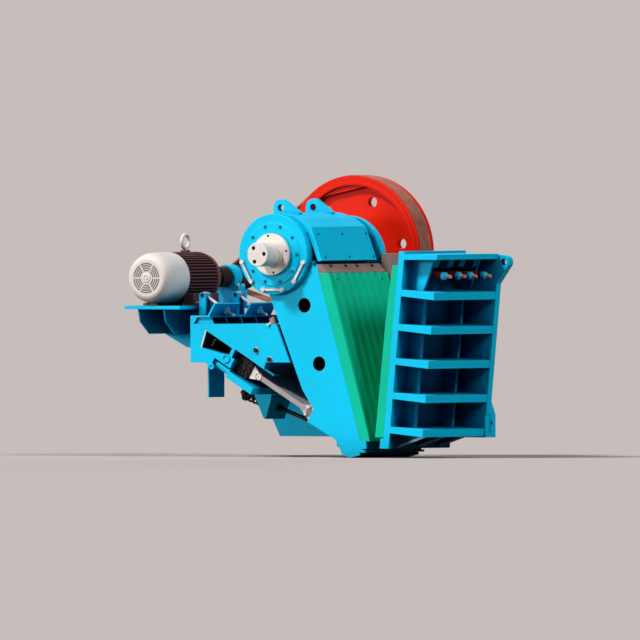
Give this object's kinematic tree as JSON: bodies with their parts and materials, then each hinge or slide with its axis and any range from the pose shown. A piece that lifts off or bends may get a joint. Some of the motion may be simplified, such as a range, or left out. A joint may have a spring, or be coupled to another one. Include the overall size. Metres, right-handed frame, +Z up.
{
  "type": "single toggle jaw crusher, shown cut away",
  "caption": "Large single toggle jaw crusher cut away on one side: swing jaw, ribbed front frame, toggle gear, flywheel and belt drive.",
  "frame": {"origin": "middle of the underside of the foot flange on the far side plate", "axes": "+X from the motor to the ribbed front wall, +Y from the open side to the flywheel, +Z up"},
  "size_m": [4.5919, 2.576, 3.4267],
  "materials": {
    "blue_paint": "bright blue gloss paint",
    "green_paint": "green paint on the jaw dies",
    "red_paint": "red gloss paint",
    "motor_paint": "dark brown paint",
    "cream_paint": "cream paint",
    "bare_steel": "machined steel",
    "toggle_steel": "grey rolled steel",
    "wear_steel": "bare manganese steel, brownish grey",
    "spring_steel": "dark red paint",
    "black_steel": "black oily steel",
    "cast_iron": "dark cast iron",
    "belt_rubber": "dusty rubber"
  },
  "bodies": {
    "frame": {"far_side_plate": "blue_paint", "foot_flange": "blue_paint", "front_frame": "blue_paint", "fixed_jaw_die": "green_paint", "die_draw_bolts": "bare_steel", "draw_bolt_springs": "spring_steel", "far_cheek_plate": "wear_steel", "far_main_bearing": "blue_paint", "rear_frame": "blue_paint", "clamp_lugs": "blue_paint", "clamp_rods": "bare_steel", "motor_bracket": "blue_paint", "motor_base": "blue_paint", "motor_body": "motor_paint", "motor_fan_cover": "cream_paint", "motor_lifting_eye": "cream_paint", "bearing_pedestal": "blue_paint", "drive_belts": "belt_rubber", "toggle_beam": "black_steel", "adjusting_wedges": "black_steel", "adjusting_cylinder": "blue_paint", "toggle_beam_guides": "blue_paint", "frame_toggle_seat": "bare_steel", "spring_bracket": "blue_paint", "tension_spring": "black_steel", "rear_support_post": "blue_paint"},
    "rotor": {"eccentric_shaft": "bare_steel", "shaft_collar": "bare_steel", "flywheel": "red_paint", "flywheel_weight": "red_paint"},
    "swing_jaw": {"pitman": "blue_paint", "pitman_hood": "blue_paint", "near_bearing_cover": "blue_paint", "far_bearing_cover": "blue_paint", "cover_lock_bars": "bare_steel", "moving_jaw_die": "green_paint", "moving_jaw_wedge": "wear_steel", "pitman_toggle_seat": "bare_steel", "tension_rod": "black_steel"},
    "toggle": {"toggle_plate": "toggle_steel"},
    "drive_line": {"drive_coupling": "black_steel", "drive_shaft": "bare_steel", "drive_pulley": "cast_iron"}
  },
  "joints": [
    {"name": "rotor_spin", "type": "hinge", "parent": "frame", "child": "rotor", "pos_m": [-0.671, -0.8165, 2.235], "axis": [0, 1, 0], "continuous": true},
    {"name": "jaw_swing", "type": "hinge", "parent": "frame", "child": "swing_jaw", "pos_m": [-0.671, -0.8165, 2.235], "axis": [0, -1, 0], "range_deg": [0, 0.8], "deforming": ["tension_spring"]},
    {"name": "toggle_swing", "type": "hinge", "parent": "frame", "child": "toggle", "pos_m": [-0.98, -0.8165, 0.735], "axis": [0, -1, 0], "range_deg": [0, 1.4]},
    {"name": "drive_spin", "type": "hinge", "parent": "frame", "child": "drive_line", "pos_m": [-2.401, -0.8165, 1.935], "axis": [0, 1, 0], "continuous": true}
  ],
  "couplings": [
    {"joint": "toggle_swing", "follows": "jaw_swing", "ratio": 1.652},
    {"joint": "drive_spin", "follows": "rotor_spin", "ratio": 6.4828}
  ]
}
